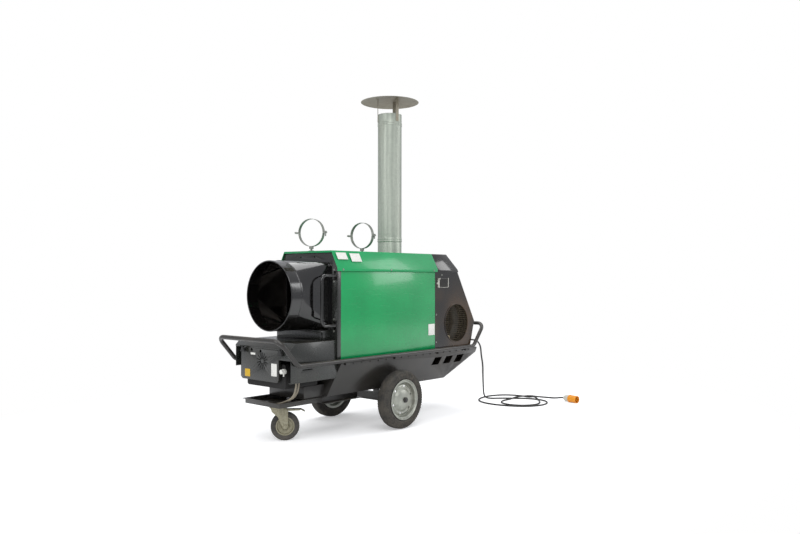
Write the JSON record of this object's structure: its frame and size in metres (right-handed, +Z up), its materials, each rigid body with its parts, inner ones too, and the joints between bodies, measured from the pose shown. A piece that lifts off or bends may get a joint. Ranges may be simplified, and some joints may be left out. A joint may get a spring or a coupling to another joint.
{
  "type": "indirect-fired oil heater",
  "caption": "Mobile indirect-fired oil heater with a sloping base on wheels, a folded casing, a round air outlet, a burner bay, a flue and a mains lead.",
  "frame": {"origin": "centre of the footprint between the two push handles, on the ground", "axes": "+X towards the rear push handle, away from the air outlet; +Y across to the far side; +Z up"},
  "size_m": [2.5141, 1.0306, 2.096],
  "materials": {
    "dark_frame_paint": "semi-gloss dark grey-brown paint",
    "green_paint": "gloss green paint",
    "gloss_black_paint": "gloss black paint",
    "tyre_rubber": "dusty black rubber",
    "castor_rubber": "black rubber",
    "galvanised_steel": "galvanised sheet",
    "zinc_plated_steel": "yellowish zinc plating",
    "stainless_steel": "heat-dulled stainless steel",
    "cast_aluminium": "cast, painted grey",
    "black_plastic": "moulded black",
    "grey_plastic": "moulded pale grey",
    "yellow_plastic": "moulded yellow-orange",
    "cord_rubber": "black cable sheath",
    "hose_rubber": "beige-grey hose"
  },
  "bodies": {
    "chassis": {"hull": "dark_frame_paint", "base_deck": "dark_frame_paint", "castor_tray": "dark_frame_paint", "chassis_channels": "dark_frame_paint", "axle_beam": "dark_frame_paint", "side_rails": "dark_frame_paint", "front_handle": "dark_frame_paint", "rear_handle": "dark_frame_paint", "burner_bay_left": "dark_frame_paint", "burner_bay_right": "dark_frame_paint", "burner_bay_top": "dark_frame_paint", "step_box": "dark_frame_paint", "front_panel": "dark_frame_paint", "side_panel_left": "green_paint", "side_panel_right": "green_paint", "roof_front": "green_paint", "rear_side_left": "gloss_black_paint", "rear_side_right": "gloss_black_paint", "rear_panel": "gloss_black_paint", "roof_rear": "gloss_black_paint", "outlet_cone": "gloss_black_paint", "outlet_collar": "gloss_black_paint", "grab_bars": "gloss_black_paint", "flue_lower": "galvanised_steel", "clip_studs": "galvanised_steel", "blower_housing": "galvanised_steel", "intake_guards": "galvanised_steel", "panel_screws": "galvanised_steel", "castor_plate": "zinc_plated_steel", "combustion_chamber": "stainless_steel", "heat_exchanger": "stainless_steel", "blast_tube": "stainless_steel", "burner_body": "cast_aluminium", "fuel_filter": "cast_aluminium", "blower_motor": "cast_aluminium", "cable_gland": "black_plastic", "socket_frame": "grey_plastic", "plug_body": "grey_plastic", "plug_front": "yellow_plastic", "mains_cable": "cord_rubber", "fuel_hoses": "hose_rubber"},
    "wheel_left": {"tyre_left": "tyre_rubber", "rim_left": "galvanised_steel"},
    "wheel_right": {"tyre_right": "tyre_rubber", "rim_right": "galvanised_steel"},
    "castor_swivel": {"castor_fork": "zinc_plated_steel"},
    "castor_wheel": {"castor_tyre": "castor_rubber", "castor_rim": "zinc_plated_steel"},
    "castor_brake": {"brake_pedal": "zinc_plated_steel"},
    "blower": {"blower_wheel": "galvanised_steel"},
    "cover": {"burner_cover": "dark_frame_paint"},
    "knob_left": {"cover_knob_left": "black_plastic"},
    "knob_right": {"cover_knob_right": "black_plastic"},
    "clip_front": {"clip_lower_front": "galvanised_steel"},
    "clip_front_strap": {"clip_upper_front": "galvanised_steel"},
    "clip_rear": {"clip_lower_rear": "galvanised_steel"},
    "clip_rear_strap": {"clip_upper_rear": "galvanised_steel"},
    "flue": {"flue_pipe": "galvanised_steel", "flue_cap": "galvanised_steel"},
    "socket_lid": {"socket_flap": "grey_plastic"}
  },
  "joints": [
    {"name": "wheel_left_spin", "type": "hinge", "parent": "chassis", "child": "wheel_left", "pos_m": [-0.0055, -0.3, 0.175], "axis": [0, 1, 0], "continuous": true},
    {"name": "wheel_right_spin", "type": "hinge", "parent": "chassis", "child": "wheel_right", "pos_m": [-0.0055, 0.3, 0.175], "axis": [0, 1, 0], "continuous": true},
    {"name": "castor_swivel_turn", "type": "hinge", "parent": "chassis", "child": "castor_swivel", "pos_m": [-0.7185, 0, 0.15], "axis": [0, 0, 1], "continuous": true},
    {"name": "castor_wheel_spin", "type": "hinge", "parent": "castor_swivel", "child": "castor_wheel", "pos_m": [-0.6802, -0.03214, 0.08], "axis": [0.6428, 0.766, 0], "continuous": true},
    {"name": "castor_brake_press", "type": "hinge", "parent": "castor_swivel", "child": "castor_brake", "pos_m": [-0.70011, -0.01543, 0.1707], "axis": [0.6428, 0.766, 0], "range_deg": [0, 5]},
    {"name": "blower_spin", "type": "hinge", "parent": "chassis", "child": "blower", "pos_m": [0.6245, 0, 0.606], "axis": [0, 1, 0], "continuous": true},
    {"name": "cover_slide", "type": "slide", "parent": "chassis", "child": "cover", "axis": [-1, 0, 0], "range_m": [0, 0.12]},
    {"name": "knob_left_turn", "type": "hinge", "parent": "cover", "child": "knob_left", "pos_m": [-0.8185, -0.169, 0.507], "axis": [1, 0, 0], "continuous": true},
    {"name": "knob_right_turn", "type": "hinge", "parent": "cover", "child": "knob_right", "pos_m": [-0.8185, 0.152, 0.507], "axis": [1, 0, 0], "continuous": true},
    {"name": "clip_front_swivel", "type": "hinge", "parent": "chassis", "child": "clip_front", "pos_m": [-0.4575, 0, 1.085], "axis": [0, 0, 1], "continuous": true},
    {"name": "clip_front_open", "type": "hinge", "parent": "clip_front", "child": "clip_front_strap", "pos_m": [-0.49038, 0.0955, 1.174], "axis": [-0.9455, -0.3256, 0], "range_deg": [0, 110]},
    {"name": "clip_rear_swivel", "type": "hinge", "parent": "chassis", "child": "clip_rear", "pos_m": [-0.0305, 0, 1.085], "axis": [0, 0, 1], "continuous": true},
    {"name": "clip_rear_open", "type": "hinge", "parent": "clip_rear", "child": "clip_rear_strap", "pos_m": [-0.04804, 0.09947, 1.174], "axis": [-0.9848, -0.1736, 0], "range_deg": [0, 110]},
    {"name": "flue_lift", "type": "slide", "parent": "chassis", "child": "flue", "axis": [0, 0, 1], "range_m": [0, 0.045]},
    {"name": "socket_lid_open", "type": "hinge", "parent": "chassis", "child": "socket_lid", "pos_m": [0.475, -0.2613, 0.9045], "axis": [-1, 0, 0], "range_deg": [0, 110]}
  ]
}
